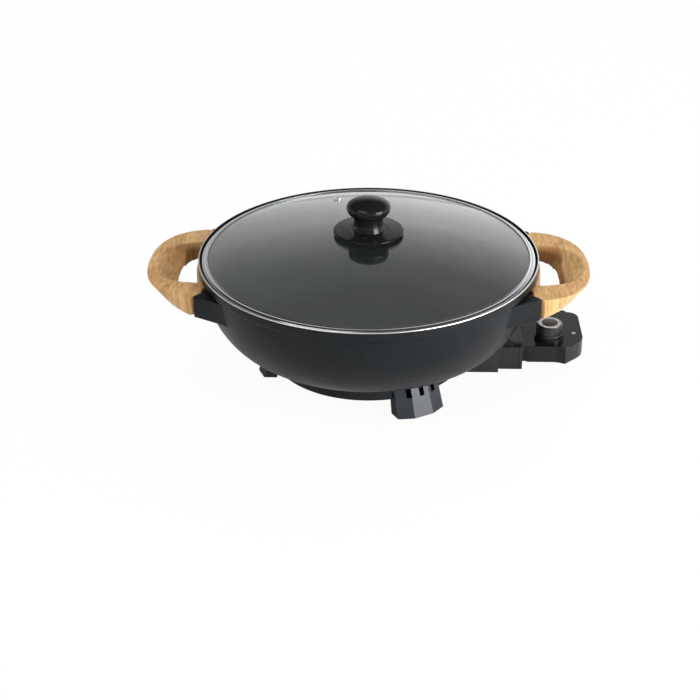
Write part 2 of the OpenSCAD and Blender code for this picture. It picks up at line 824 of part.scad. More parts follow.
// Insulating block that carries the sleeves and the probe
module contact_block() {
    block_x0 = plug_x + shell_t + 8;
    block_h = control_top - shell_t - plug_z - shell_t - 2 * face_gap;
    color([0.85, 0.8, 0.7]) difference() {
        translate([block_x0, -plug_half + shell_t + face_gap, plug_z + shell_t + face_gap])
            cube([10, 2 * (plug_half - shell_t - face_gap), block_h]);
        for (s = [-1, 1]) translate([block_x0 - 1, s * terminal_y, terminal_z]) rotate([0, 90, 0])
            cylinder(r = pin_r + 0.9 + fit_gap, h = 12);
        translate([block_x0 - 1, 0, guide_z]) rotate([0, 90, 0])
            cylinder(r = probe_r + fit_gap, h = 12);
    }
}

module probe_rod() {
    start_x = guide_start_x + 4;
    color([0.75, 0.75, 0.75]) translate([start_x + probe_r, 0, guide_z]) {
        sphere(r = probe_r);
        rotate([0, 90, 0]) cylinder(r = probe_r, h = body_x - start_x - probe_r);
    }
}

module switch_frame() {
    h = split_z - control_z - shell_t - 2 * face_gap;
    color([0.85, 0.83, 0.78]) translate([body_x + 12, -7, control_z + shell_t + face_gap]) {
        cube([26, 14, h - 2.6]);
        translate([2, 2, h - 2.6]) cube([8, 10, 2.6]);
        translate([0, 4, h - 2.6]) cube([26, 6, 1]);
    }
}

module dial() {
    ribs = 24;
    color([0.06, 0.06, 0.07]) translate([dial_x, 0, dial_z]) difference() {
        union() {
            cylinder(r = dial_r, h = dial_h - 1);
            cylinder(r = dial_r - 1, h = dial_h);
            cylinder(r = dial_r * 0.52, h = dial_h + 0.5);
        }
        translate([0, 0, -1]) cylinder(r = shaft_r + fit_gap, h = dial_h - 1);
        translate([0, 0, dial_h - 0.6]) ring(dial_r - 1.6, dial_r * 0.6, 3);
        for (i = [0 : ribs - 1]) rotate([0, 0, 360 / ribs * i]) translate([dial_r, 0, 2])
            cylinder(r = 0.45, h = dial_h);
    }
}

// Silver scale ring let into the dial's top, with raised marks
module dial_scale() {
    marks = 11;
    sweep = 270;
    z = dial_z + dial_h - 0.6 + fit_gap;
    color([0.8, 0.8, 0.8]) translate([dial_x, 0, z]) {
        ring(dial_r - 1.65, dial_r * 0.6 + fit_gap, 0.7);
        for (i = [0 : marks - 1]) rotate([0, 0, 90 + sweep / 2 - sweep / (marks - 1) * i])
            translate([dial_r - 3.4, -0.25, 0.7 - eps]) cube([1.6, 0.5, 0.25]);
    }
}

module dial_shaft() {
    z0 = split_z + 1.2;
    color([0.75, 0.75, 0.7]) translate([dial_x, 0, z0])
        cylinder(r = shaft_r, h = dial_z + dial_h - 3 - z0);
}

module indicator_lens() {
    color([0.9, 0.85, 0.75]) translate([lens_x, lens_y, control_top - shell_t - 1]) {
        cylinder(r = lens_r, h = shell_t + 1.4);
        translate([0, 0, -0.8]) cylinder(r = lens_r + 1, h = 0.7);
        cylinder(r = lens_r - 0.6, h = shell_t + 1.9);
        translate([0, 0, -0.2]) cylinder(r = lens_r - 0.5, h = 1);
    }
}

module indicator_lamp() {
    color([0.9, 0.5, 0.3]) translate([lens_x, lens_y - 5, lamp_z])
        rotate([-90, 0, 0]) {
            cylinder(r = 2, h = 12);
            sphere(r = 2);
        }
}

module cord_gland() {
    color([0.05, 0.05, 0.05]) translate([gland_x, body_back_y - shell_t - 2.2, gland_z])
        rotate([-90, 0, 0]) difference() {
            union() {
                cylinder(r = gland_r, h = 2);
                cylinder(r = gland_r - 1.2, h = shell_t + 2.4);
                translate([0, 0, shell_t + 2.3])
                    cylinder(r1 = gland_r, r2 = gland_r - 1, h = gland_len);
            }
            translate([0, 0, -1]) cylinder(r = gland_bore_r, h = gland_len + 10);
        }
}

// Bar that holds the cord down, and its two screws
module cord_clamp() {
    color([0.8, 0.78, 0.7]) difference() {
        translate([gland_x - 9, clamp_y - 3.5, clamp_z]) cube([18, 7, 2.4]);
        for (s = [-1, 1]) translate([gland_x + s * clamp_pitch / 2, clamp_y, clamp_z - 1])
            cylinder(r = 1.5, h = 5);
    }
}

module clamp_screws() {
    head_z = clamp_z + 2.4 + face_gap;
    color([0.75, 0.75, 0.75]) for (s = [-1, 1])
        translate([gland_x + s * clamp_pitch / 2, clamp_y, head_z - 8]) {
            cylinder(r = 1.3, h = 8);
            translate([0, 0, 8 - eps]) cylinder(r = 2.3, h = 1.3);
        }
}

module control_screws() {
    color([0.75, 0.75, 0.75]) for (p = control_posts) translate([p[0], p[1], control_z + 0.2]) {
        cylinder(r = 2.8, h = 1.7);
        cylinder(r = 1.4, h = control_h / 2 + 7);
    }
}

pan();
handle_lugs();
fixing_bosses();
heating_element();
terminal_pins();
probe_guide();
base_ring();
heat_plate();
base_screws();
foot_left();
foot_front();
foot_rear();
foot_pads();
socket_guard();
guard_screws();
handle_left();
handle_right();
handle_studs();
lid_glass();
lid_band();
vent_grommet();
lid_knob();
knob_disc();
knob_seal();
knob_washer();
knob_screw();
control_base();
control_cover();
contact_block();
contact_sleeves();
probe_rod();
switch_frame();
dial();
dial_scale();
dial_shaft();
indicator_lens();
indicator_lamp();
cord_gland();
cord_clamp();
clamp_screws();
control_screws();
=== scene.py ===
"""Electric wok: the dressed model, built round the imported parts."""
import math

import bmesh
import bpy
from mathutils import Matrix, Vector


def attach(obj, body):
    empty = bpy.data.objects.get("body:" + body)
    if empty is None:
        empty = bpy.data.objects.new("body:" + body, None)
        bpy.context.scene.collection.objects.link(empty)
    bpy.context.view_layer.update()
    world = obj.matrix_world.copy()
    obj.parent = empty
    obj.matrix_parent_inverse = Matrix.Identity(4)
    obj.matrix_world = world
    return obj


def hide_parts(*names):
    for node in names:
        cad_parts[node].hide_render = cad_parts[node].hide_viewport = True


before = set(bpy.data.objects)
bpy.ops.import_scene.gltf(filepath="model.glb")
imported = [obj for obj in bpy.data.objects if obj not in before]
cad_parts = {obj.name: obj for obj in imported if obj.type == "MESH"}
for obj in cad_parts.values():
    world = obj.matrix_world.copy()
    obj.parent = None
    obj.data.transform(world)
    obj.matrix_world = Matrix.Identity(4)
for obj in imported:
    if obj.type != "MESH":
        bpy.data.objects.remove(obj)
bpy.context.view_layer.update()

MM = 0.001
TAU = 2 * math.pi

# Sizes of the wok in millimetres and degrees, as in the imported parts

# Bowl and rim
RIM_R = 180.5
RIM_Z = 139.0
RIM_WALL = 2.0
BAND_H = 9.5
BAND_SLOPE = 2.9
EDGE_DROP = 1.4
WALL = 3.8
WALL_R = RIM_R - 2.9
SEAT_Z = RIM_Z - 8.6
BOWL_Z = 37.4
FLAT_R = 92.0
BELLY = 86.0

# Lugs and handles
LUG_TOP = RIM_Z - 11.8
LUG_H = 23.4
LUG_REACH = 17.3
LUG_FACE = 47.0
LUG_FACE_TURN = 28.0
LUG_TIP_TURN = 25.0
LUG_ROOT_TURN = 40.0
LUG_ROOT_R = 175.0
HOLE_X = 180.0
# Painted shade on the hand hole's walls: the width over which it fades in past its line, and the
# depth over which it grows darker
SHADE_EDGE = 2.5
SHADE_DEPTH = 9.0

# Lid
CROWN_Z = RIM_Z + 24.5
GLASS_T = 3.8
BAND_R = RIM_R - RIM_WALL - 1.2
GLASS_IN_R = BAND_R - 6.5
GLASS_R = BAND_R - 1.05
GLASS_HOLE_R = 4.2
DOME_DROP = 24.8
DOME_R = (DOME_DROP**2 + GLASS_IN_R**2) / (2 * DOME_DROP)
VENT_POS_R = 122.0
VENT_TURN = 108.0
VENT_HOLE_R = 4.0
DISC_Z = CROWN_Z + 0.8
DISC_T = 3.4
DISC_R = 37.4
KNOB_Z = DISC_Z + DISC_T
KNOB_H = 34.5
NECK_R = 15.5
CAP_R = 23.4

# Temperature control and its dial
CONTROL_TOP = 39.4
CONTROL_LOW = 19.8
PLUG_END_X = 167.0
COLLAR_R = 17.5
WINDOW = (224.0, 10.0, 36.4)
LOW_SCREWS = ((178.0, -13.0), (226.0, -3.0), (203.0, 50.0))
GLAND = (218.5, 55.6, 29.6)
GLAND_BORE = 3.6
GLAND_R = 6.0
GLAND_L = 17.5
DIAL_X = 196.5
DIAL_R = 14.4
DIAL_Z = 43.7
DIAL_H = 13.5
SCALE_IN = 8.75
SCALE_OUT = 12.8
SWEEP = 270.0
MARKS = 21
NUMBERS = 6

# Base
FOOT_TURNS = {"foot_left": 180, "foot_front": -60, "foot_rear": 60}
BASE_SCREW = (85.0, 0.0, 18.9)
GUARD_SCREW = (124.0, 33.0, 17.9)

# The photograph's camera, in metres and in pixels of its 700-pixel frame
FRAME = 700
FOCUS = 1483.7
CENTRE = (368.6, 252.71)
EYE = (0.0294, -1.4281, 0.6706)


# ---- Node trees -------------------------------------------------------------


def node(tree, kind, inputs=None, **settings):
    """A node with its settings and inputs; an input is a value or a socket."""
    made = tree.nodes.new(kind)
    for key, value in settings.items():
        setattr(made, key, value)
    for key, value in (inputs or {}).items():
        if isinstance(value, bpy.types.NodeSocket):
            tree.links.new(value, made.inputs[key])
        else:
            made.inputs[key].default_value = value
    return made


def calc(tree, operation, a, b=0.0, c=0.0):
    """One sum of a node tree."""
    return node(tree, "ShaderNodeMath", {0: a, 1: b, 2: c}, operation=operation).outputs[0]


def spread(tree, value, low, high, out_low=0.0, out_high=1.0):
    """Maps a value between two limits onto two others."""
    limits = {"From Min": low, "From Max": high, "To Min": out_low, "To Max": out_high}
    return node(tree, "ShaderNodeMapRange", {"Value": value, **limits}).outputs[0]


def tree_with(name, sockets):
    """A geometry tree with these named inputs, and its input and output nodes."""
    tree = bpy.data.node_groups.new(name, "GeometryNodeTree")
    for label, kind in sockets:
        tree.interface.new_socket(label, in_out="INPUT", socket_type="NodeSocket" + kind)
    tree.interface.new_socket("Mesh", in_out="OUTPUT", socket_type="NodeSocketGeometry")
    return tree, tree.nodes.new("NodeGroupInput"), tree.nodes.new("NodeGroupOutput")


def lathe_tree():
    """Turns a profile, given as points in order, about the Z axis."""
    tree, given, made = tree_with(
        "lathe", [("Profile", "Geometry"), ("Segments", "Int"), ("Finish", "Material")]
    )
    count = node(
        tree, "GeometryNodeAttributeDomainSize", {0: given.outputs["Profile"]}, component="MESH"
    ).outputs["Point Count"]
    rows = calc(tree, "ADD", given.outputs["Segments"], 1.0)
    grid = node(
        tree,
        "GeometryNodeMeshGrid",
        {"Size X": 1.0, "Size Y": 1.0, "Vertices X": count, "Vertices Y": rows},
    )
    place = tree.nodes.new("GeometryNodeInputPosition").outputs[0]
    split = node(tree, "ShaderNodeSeparateXYZ", {0: place})
    step = calc(
        tree,
        "MULTIPLY",
        calc(tree, "ADD", split.outputs[0], 0.5),
        calc(tree, "SUBTRACT", count, 1.0),
    )
    index = node(tree, "FunctionNodeFloatToInt", {0: step}, rounding_mode="ROUND").outputs[0]
    point = node(
        tree,
        "GeometryNodeSampleIndex",
        {"Geometry": given.outputs["Profile"], "Value": place, "Index": index},
        data_type="FLOAT_VECTOR",
    ).outputs[0]
    angle = calc(tree, "MULTIPLY", calc(tree, "ADD", split.outputs[1], 0.5), TAU)
    turned = node(
        tree,
        "ShaderNodeVectorRotate",
        {"Vector": point, "Angle": angle},
        rotation_type="Z_AXIS",
    ).outputs[0]
    shape = node(
        tree, "GeometryNodeSetPosition", {"Geometry": grid.outputs["Mesh"], "Position": turned}
    )
    closed = node(
        tree, "GeometryNodeMergeByDistance", {"Geometry": shape.outputs[0], "Distance": 2e-6}
    )
    real = node(tree, "GeometryNodeRealizeInstances", {0: closed.outputs[0]})
    coated = node(
        tree,
        "GeometryNodeSetMaterial",
        {"Geometry": real.outputs[0], "Material": given.outputs["Finish"]},
    )
    tree.links.new(coated.outputs[0], made.inputs[0])
    return tree


def round_tree():
    """Repeats a piece about an upright axis through a centre."""
    tree, given, made = tree_with(
        "repeat about an axis",
        [
            ("Piece", "Geometry"),
            ("Count", "Int"),
            ("Start", "Float"),
            ("Step", "Float"),
            ("Centre", "Vector"),
            ("Finish", "Material"),
        ],
    )
    back = node(
        tree,
        "ShaderNodeVectorMath",
        {0: given.outputs["Centre"], 1: (-1, -1, -1)},
        operation="MULTIPLY",
    ).outputs[0]
    local = node(
        tree, "GeometryNodeTransform", {"Geometry": given.outputs["Piece"], "Translation": back}
    )
    points = node(
        tree,
        "GeometryNodePoints",
        {"Count": given.outputs["Count"], "Position": given.outputs["Centre"]},
    )
    number = tree.nodes.new("GeometryNodeInputIndex").outputs[0]
    angle = calc(tree, "MULTIPLY_ADD", number, given.outputs["Step"], given.outputs["Start"])
    turn = node(tree, "ShaderNodeCombineXYZ", {2: angle}).outputs[0]
    placed = node(
        tree,
        "GeometryNodeInstanceOnPoints",
        {"Points": points.outputs[0], "Instance": local.outputs[0], "Rotation": turn},
    )
    real = node(tree, "GeometryNodeRealizeInstances", {0: placed.outputs[0]})
    coated = node(
        tree,
        "GeometryNodeSetMaterial",
        {"Geometry": real.outputs[0], "Material": given.outputs["Finish"]},
    )
    tree.links.new(coated.outputs[0], made.inputs[0])
    return tree


LATHE = lathe_tree()
AROUND = round_tree()


# ---- Meshes -----------------------------------------------------------------


def mesh_of(name, work):
    """The mesh of a bmesh, which is used up."""
    mesh = bpy.data.meshes.new(name)
    work.to_mesh(mesh)
    work.free()
    return mesh


def taken(made):
    """The mesh of an object, which is removed."""
    mesh = made.data
    bpy.data.objects.remove(made)
    return mesh


def thing(name, mesh):
    """An object for a mesh, in the scene."""
    made = bpy.data.objects.new(name, mesh)
    bpy.context.scene.collection.objects.link(made)
    return made


def grown(name, mesh, tree, **inputs):
    """The plain mesh that a geometry tree makes of a mesh."""
    seed = thing(name, mesh)
    work = seed.modifiers.new("grow", "NODES")
    work.node_group = tree
    for item in tree.interface.items_tree:
        if item.in_out == "INPUT" and item.name in inputs:
            work[item.identifier] = inputs[item.name]
    view = bpy.context.evaluated_depsgraph_get()
    result = bpy.data.meshes.new_from_object(seed.evaluated_get(view))
    bpy.data.objects.remove(seed)
    result.name = name
    result.materials.clear()
    result.materials.append(inputs["Finish"])
    result.polygons.foreach_set("material_index", [0] * len(result.polygons))
    return result


def applied(piece):
    """Turns a piece's modifiers into its mesh."""
    view = bpy.context.evaluated_depsgraph_get()
    mesh = bpy.data.meshes.new_from_object(piece.evaluated_get(view))
    piece.modifiers.clear()
    piece.data = mesh
    return piece


def smooth(mesh, angle=35):
    """Smooth shading, sharp across edges steeper than the angle; faces stay as they are."""
    mesh.shade_smooth()
    mesh.set_sharp_from_angle(angle=math.radians(angle))
    return mesh


def shade(mesh, angle=35):
    """Smooth shading with the faces turned outwards."""
    work = bmesh.new()
    work.from_mesh(mesh)
    bmesh.ops.recalc_face_normals(work, faces=work.faces)
    work.to_mesh(mesh)
    work.free()
    return smooth(mesh, angle)


def rounded(points, radii, closed=False, steps=5, guard=0.3):
    """An outline in 2-D with its corners rounded, and a point just before and after each arc."""
    if not isinstance(radii, (list, tuple)):
        radii = [radii] * len(points)
    result = []
    last = len(points) - 1
    for i, (point, radius) in enumerate(zip(points, radii)):
        here = Vector(point)
        if not radius or (not closed and i in (0, last)):
            result.append(here)
            continue
        before = Vector(points[i - 1]) - here
        after = Vector(points[(i + 1) % len(points)]) - here
        room = min(before.length, after.length) * 0.47
        before.normalize()
        after.normalize()
        half = before.angle(after, math.pi) / 2
        if half > 1.56:
            result.append(here)
            continue
        reach = min(radius / math.tan(half), room)
        radius = reach * math.tan(half)
        centre = here + (before + after).normalized() * (radius / math.sin(half))
        start = here + before * reach
        sweep = math.pi - 2 * half
        side = 1 if before.x * after.y - before.y * after.x < 0 else -1
        if reach + guard < room:
            result.append(start + before * guard)
        for k in range(steps + 1):
            spin = Matrix.Rotation(side * sweep * k / steps, 2)
            result.append(centre + spin @ (start - centre))
        if reach + guard < room:
            result.append(here + after * (reach + guard))
    if closed:
        result.append(result[0].copy())
    return result


def turned(name, profile, finish, segments=96):
    """A mesh turned from a profile of (radius, height) in millimetres."""
    seed = bpy.data.meshes.new(name + " profile")
    seed.from_pydata([(max(r, 0.0) * MM, 0, z * MM) for r, z in profile], [], [])
    return shade(grown(name, seed, LATHE, Segments=segments, Finish=finish))


def round_about(name, mesh, finish, count, start=0.0, step=None, centre=(0, 0, 0)):
    """Copies of a mesh about an upright axis, as one mesh."""
    return grown(
        name,
        mesh,
        AROUND,
        Count=count,
        Start=start,
        Step=TAU / count if step is None else step,
        Centre=tuple(v * MM for v in centre),
        Finish=finish,
    )


def eased_edges(work, edges, width, steps, held=False):
    """Rounds edges by a width in millimetres; held keeps the new faces from crossing."""
    return bmesh.ops.bevel(
        work,
        geom=edges,
        offset=width * MM,
        segments=steps,
        profile=0.5,
        affect="EDGES",
        clamp_overlap=held,
    )["faces"]


def block(name, low, high, round_off=0.0, steps=3):
    """A block between two corners in millimetres, with rounded edges."""
    work = bmesh.new()
    bmesh.ops.create_cube(work, size=1.0)
    size = [b - a for a, b in zip(low, high)]
    middle = [(a + b) / 2 for a, b in zip(low, high)]
    for vertex in work.verts:
        vertex.co = Vector([(c * s + m) * MM for c, s, m in zip(vertex.co, size, middle)])
    if round_off:
        eased_edges(work, work.edges[:], round_off, steps)
    return mesh_of(name, work)


def joined(name, meshes, finishes=None):
    """Several meshes as one; each keeps its own finish."""
    work = bmesh.new()
    for number, mesh in enumerate(meshes):
        start = len(work.faces)
        work.from_mesh(mesh)
        work.faces.ensure_lookup_table()
        if finishes:
            for face in work.faces[start:]:
                face.material_index = number
    made = mesh_of(name, work)
    for finish in finishes or []:
        made.materials.append(finish)
    return made


def cut(piece, cutter):
    """Cuts a mesh out of a piece."""
    tool = thing("cutter", cutter)
    work = piece.modifiers.new("cut", "BOOLEAN")
    work.operation = "DIFFERENCE"
    work.solver = "EXACT"
    work.object = tool
    applied(piece)
    bpy.data.objects.remove(tool)
    return piece


def cad_mesh(source, flat_angle=0.4):
    """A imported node's mesh with its loose triangles merged, ready for bevels."""
    work = bmesh.new()
    work.from_mesh(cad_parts[source].data)
    bmesh.ops.remove_doubles(work, verts=work.verts, dist=2e-6)
    bmesh.ops.dissolve_limit(
        work, angle_limit=math.radians(flat_angle), verts=work.verts, edges=work.edges
    )
    return work


def eased(source, edge, steps=2, wide=(), limit=28, crease=40):
    """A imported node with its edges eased. wide lists (test of an edge's middle, width, steps).

    Sizes are in millimetres. Edges under limit degrees stay, and shading is sharp over crease.
    """
    work = cad_mesh(source)
    done = set()
    for test, width, count in wide:
        chosen = [
            e
            for e in work.edges
            if e.is_manifold
            and e.calc_face_angle() > math.radians(12)
            and test(*[v / MM for v in (e.verts[0].co + e.verts[1].co) / 2])
        ]
        done |= set(eased_edges(work, chosen, width, count, held=True))
    sharp = [
        e
        for e in work.edges
        if e.is_manifold
        and e.calc_face_angle() > math.radians(limit)
        and not any(f in done for f in e.link_faces)
    ]
    eased_edges(work, sharp, edge, steps, held=True)
    made = thing("work", smooth(mesh_of(source + " eased", work), crease))
    soft = made.modifiers.new("soft", "WEIGHTED_NORMAL")
    soft.keep_sharp = True
    return taken(applied(made))


def place(mesh, matrix):
    """Moves a mesh's points by a matrix."""
    mesh.transform(matrix)
    return mesh


def at(x, y, z):
    """A shift in millimetres."""
    return Matrix.Translation((x * MM, y * MM, z * MM))


def turn_about(axis, degrees):
    """A turn about an axis through the origin."""
    return Matrix.Rotation(math.radians(degrees), 4, axis)


def piece(name, mesh, body, slot, nodes=(), finish=None):
    """A finished piece: it rides on a body and stands for its nodes."""
    made = thing(name, mesh)
    if finish:
        mesh.materials.clear()
        mesh.materials.append(finish)
    for source in nodes:
        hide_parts(source)
    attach(made, body)
    return made


# ---- Finishes ---------------------------------------------------------------


class Finish:
    """A material under construction, with object coordinates in metres."""

    def __init__(self, name, base, roughness, **sockets):
        self.material = bpy.data.materials.new(name)
        self.material.use_nodes = True
        self.tree = self.material.node_tree
        self.shader = self.tree.nodes["Principled BSDF"]
        self.shader.inputs["Base Color"].default_value = (*base, 1)
        self.shader.inputs["Roughness"].default_value = roughness
        for key, value in sockets.items():
            self.shader.inputs[key.replace("_", " ")].default_value = value
        self.height = None

    def node(self, kind, inputs=None, **settings):
        return node(self.tree, kind, inputs, **settings)

    def coords(self, scale=(1, 1, 1), location=(0, 0, 0), rotation=(0, 0, 0)):
        here = self.tree.nodes.new("ShaderNodeTexCoord").outputs["Object"]
        return self.node(
            "ShaderNodeMapping",
            {"Vector": here, "Location": location, "Rotation": rotation, "Scale": scale},
        ).outputs[0]

    def noise(self, scale, detail=3.0, rough=0.55, warp=0.0, **mapping):
        return self.node(
            "ShaderNodeTexNoise",
            {
                "Vector": self.coords(**mapping),
                "Scale": scale,
                "Detail": detail,
                "Roughness": rough,
                "Distortion": warp,
            },
        ).outputs[0]

    def spread(self, value, *limits):
        return spread(self.tree, value, *limits)

    def ramp(self, value, stops):
        made = self.node("ShaderNodeValToRGB", {0: value})
        band = made.color_ramp
        while len(band.elements) < len(stops):
            band.elements.new(0.5)
        for element, (place_at, colour) in zip(band.elements, stops):
            element.position = place_at
            element.color = (*colour, 1)
        return made.outputs[0]

    def blend(self, share, a, b, kind="MIX"):
        made = self.node("ShaderNodeMix", data_type="RGBA", blend_type=kind)
        for key, value in ((0, share), (6, a), (7, b)):
            if isinstance(value, bpy.types.NodeSocket):
                self.tree.links.new(value, made.inputs[key])
            else:
                made.inputs[key].default_value = value if key == 0 else (*value, 1)
        return made.outputs[2]

    def colour(self, socket):
        self.tree.links.new(socket, self.shader.inputs["Base Color"])

    def rough(self, socket):
        self.tree.links.new(socket, self.shader.inputs["Roughness"])

    def bump(self, socket, depth):
        """Adds a bump of this depth in millimetres."""
        inputs = {"Height": socket, "Distance": depth * MM, "Strength": 1.0}
        if self.height:
            inputs["Normal"] = self.height
        self.height = self.node("ShaderNodeBump", inputs).outputs[0]
        self.tree.links.new(self.height, self.shader.inputs["Normal"])


def mixed(a, b, share):
    """A colour between two."""
    return tuple(x + (y - x) * share for x, y in zip(a, b))


def moulded(name, base, roughness, grain=0.02, scale=900, **sockets):
    """Moulded plastic or rubber: faint mottling, and a fine grain in gloss and height."""
    made = Finish(name, base, roughness, **sockets)
    fine = made.noise(scale)
    slow = made.noise(35, detail=2.0)
    made.colour(made.blend(slow, mixed(base, (0, 0, 0), 0.25), mixed(base, (1, 1, 1), 0.012)))
    made.rough(
        made.spread(slow, 0.3, 0.7, max(roughness - 0.04, 0.02), min(roughness + 0.05, 1.0))
    )
    made.bump(fine, grain)
    return made.material


def metal(name, base, roughness, stretch=(1, 1, 14), scale=260, depth=0.004):
    """Metal with fine drawn or turned lines."""
    made = Finish(name, base, roughness, Metallic=1.0)
    lines = made.node(
        "ShaderNodeTexNoise",
        {"Vector": made.coords(scale=stretch), "Scale": scale, "Detail": 4.0, "Roughness": 0.6},
    ).outputs[0]
    cloud = made.noise(22, detail=3.0)
    made.colour(made.blend(cloud, mixed(base, (0, 0, 0), 0.12), base))
    made.rough(made.spread(lines, 0.3, 0.7, max(roughness - 0.05, 0.02), roughness + 0.08))
    made.bump(lines, depth)
    return made.material


def non_stick_coat():
    """Satin black coat with fine pale specks."""
    made = Finish("non_stick_coat", (0.006, 0.0075, 0.009), 0.33, Specular_IOR_Level=0.15)
    specks = made.node(
        "ShaderNodeTexVoronoi",
        {"Vector": made.coords(), "Scale": 520.0, "Randomness": 1.0},
        feature="F1",
    )
    size = made.spread(made.noise(260, detail=1.0), 0.45, 0.75, 0.0, 0.34)
    dots = calc(made.tree, "LESS_THAN", specks.outputs["Distance"], size)
    slow = made.noise(14, detail=3.0)
    dark = made.blend(slow, (0.0045, 0.0058, 0.0068), (0.0080, 0.0098, 0.0115))
    share = calc(made.tree, "MULTIPLY", dots, 0.10)
    made.colour(made.blend(share, dark, (0.25, 0.27, 0.29)))
    made.rough(made.spread(made.noise(40, detail=4.0), 0.3, 0.7, 0.32, 0.40))
    made.bump(made.noise(1500, detail=2.0), 0.012)
    return made.material


def turned_edge():
    """Bright machined aluminium with fine circular lines."""
    return metal("turned_edge", (0.96, 0.955, 0.94), 0.36, stretch=(1, 1, 30), scale=160)


def laminated_wood(name, shift):
    """Oiled hardwood of glued upright staves, with painted shade on the walls of the hand hole."""
    made = Finish(name, (0.5, 0.34, 0.18), 0.42, Specular_IOR_Level=0.3)
    tree = made.tree
    parts = made.node("ShaderNodeSeparateXYZ", {0: made.coords(location=(shift, 0, 0))})
    wobble = made.noise(9, detail=2.0, location=(shift, 0, 0))
    bend = calc(tree, "MULTIPLY_ADD", wobble, 0.02, parts.outputs[0])
    width = calc(tree, "DIVIDE", bend, 0.025)
    stave = calc(tree, "FLOOR", width)
    seam = calc(tree, "FRACT", width)
    tone = made.node("ShaderNodeTexWhiteNoise", {"W": stave}, noise_dimensions="1D").outputs[0]
    streak = made.node(
        "ShaderNodeTexNoise",
        {
            "Vector": made.coords(scale=(120, 26, 7), location=(shift, 0, 0)),
            "Scale": 2.6,
            "Detail": 6.0,
            "Roughness": 0.62,
            "Distortion": 0.9,
            "W": calc(tree, "MULTIPLY", stave, 7.3),
        },
        noise_dimensions="4D",
    ).outputs[0]
    pores = made.node(
        "ShaderNodeTexNoise",
        {
            "Vector": made.coords(scale=(900, 120, 40)),
            "Scale": 2.2,
            "Detail": 3.0,
            "Roughness": 0.5,
        },
    ).outputs[0]
    cloud = made.noise(17, detail=3.0, warp=0.8, location=(shift, 3, 1))
    grain = made.ramp(
        streak,
        [
            (0.25, (0.40, 0.22, 0.085)),
            (0.42, (0.62, 0.39, 0.17)),
            (0.58, (0.80, 0.56, 0.28)),
            (0.80, (0.90, 0.70, 0.43)),
        ],
    )
    toned = made.blend(
        made.spread(tone, 0.2, 0.8, 0.0, 1.0), grain, (0.74, 0.63, 0.53), kind="MULTIPLY"
    )
    dull = made.spread(cloud, 0.35, 0.65, 0.0, 0.55)
    patch = made.blend(dull, toned, (0.74, 0.64, 0.54), kind="MULTIPLY")
    pale = made.blend(made.spread(cloud, 0.45, 0.25, 0.0, 0.3), patch, (0.76, 0.60, 0.38))
    flecked = made.blend(made.spread(pores, 0.60, 0.72, 0.0, 0.35), pale, (0.17, 0.085, 0.04))
    line = calc(tree, "LESS_THAN", seam, 0.02)
    seamed = made.blend(calc(tree, "MULTIPLY", line, 0.35), flecked, (0.12, 0.06, 0.025))
    # Painted shade: the marked walls of the hand hole are darkened, with a little cloud in it
    wall = made.node("ShaderNodeAttribute", attribute_name="hole_wall_shade").outputs["Fac"]
    hole_shade = calc(tree, "MULTIPLY", wall, made.spread(cloud, 0.3, 0.7, 0.75, 1.0))
    made.colour(made.blend(hole_shade, seamed, (0.30, 0.22, 0.15), kind="MULTIPLY"))
    made.rough(made.spread(streak, 0.3, 0.7, 0.52, 0.40))
    made.bump(streak, 0.04)
    made.bump(pores, 0.02)
    return made.material


def clear_glass():
    """Clear tempered glass that lets the lamps through."""
    made = Finish("clear_glass", (0.96, 0.985, 0.98), 0.0, Transmission_Weight=1.0, IOR=1.52)
    tree = made.tree
    smudge = made.noise(7, detail=4.0, warp=0.4)
    made.rough(made.spread(smudge, 0.5, 0.75, 0.0, 0.035))
    clear = node(tree, "ShaderNodeBsdfTransparent", {0: (0.90, 0.94, 0.93, 1)})
    rays = tree.nodes.new("ShaderNodeLightPath")
    mix = node(
        tree,
        "ShaderNodeMixShader",
        {0: rays.outputs["Is Shadow Ray"], 1: made.shader.outputs[0], 2: clear.outputs[0]},
    )
    tree.links.new(mix.outputs[0], tree.nodes["Material Output"].inputs["Surface"])
    return made.material


COAT = non_stick_coat()
EDGE = turned_edge()
WOOD_RIGHT = laminated_wood("wood_right", 0.0)
WOOD_LEFT = laminated_wood("wood_left", 0.37)
GLASS = clear_glass()
BAND_STEEL = metal(
    "band_steel", (0.80, 0.80, 0.81), 0.14, stretch=(1, 1, 20), scale=120, depth=0.002
)
SCREW_STEEL = metal("screw_steel", (0.62, 0.62, 0.60), 0.3)
PLATE_METAL = metal("plate_metal", (0.55, 0.55, 0.54), 0.42, stretch=(1, 9, 1), scale=180)
SHEATH = metal("element_sheath", (0.22, 0.205, 0.19), 0.5)
CONTACT_BRASS = metal("contact_brass", (0.68, 0.50, 0.22), 0.3)
DIAL_SILVER = metal("dial_silver", (0.82, 0.83, 0.84), 0.34, stretch=(1, 1, 1), scale=500)
GLOSS = moulded(
    "gloss_black", (0.003, 0.003, 0.004), 0.07, grain=0.002, scale=220, Specular_IOR_Level=0.22
)
CONTROL_GLOSS = moulded(
    "control_black", (0.006, 0.006, 0.0075), 0.06, grain=0.002, scale=300, Specular_IOR_Level=0.25
)
GUARD_BLACK = moulded(
    "guard_black", (0.008, 0.009, 0.011), 0.10, grain=0.004, Specular_IOR_Level=0.42
)
RING_BLACK = moulded("ring_black", (0.006, 0.007, 0.009), 0.25, grain=0.01, Specular_IOR_Level=0.15)
FOOT_BLACK = moulded(
    "foot_black", (0.027, 0.032, 0.039), 0.28, grain=0.012, scale=1100, Specular_IOR_Level=0.19
)
DIAL_BLACK = moulded("dial_black", (0.013, 0.014, 0.016), 0.32, grain=0.012)
RUBBER = moulded("soft_rubber", (0.018, 0.018, 0.018), 0.7, grain=0.03)
GLAND_RUBBER = moulded("gland_rubber", (0.012, 0.012, 0.013), 0.55, grain=0.02)
INSULATOR = moulded("insulator", (0.62, 0.56, 0.44), 0.6, grain=0.03, scale=600)
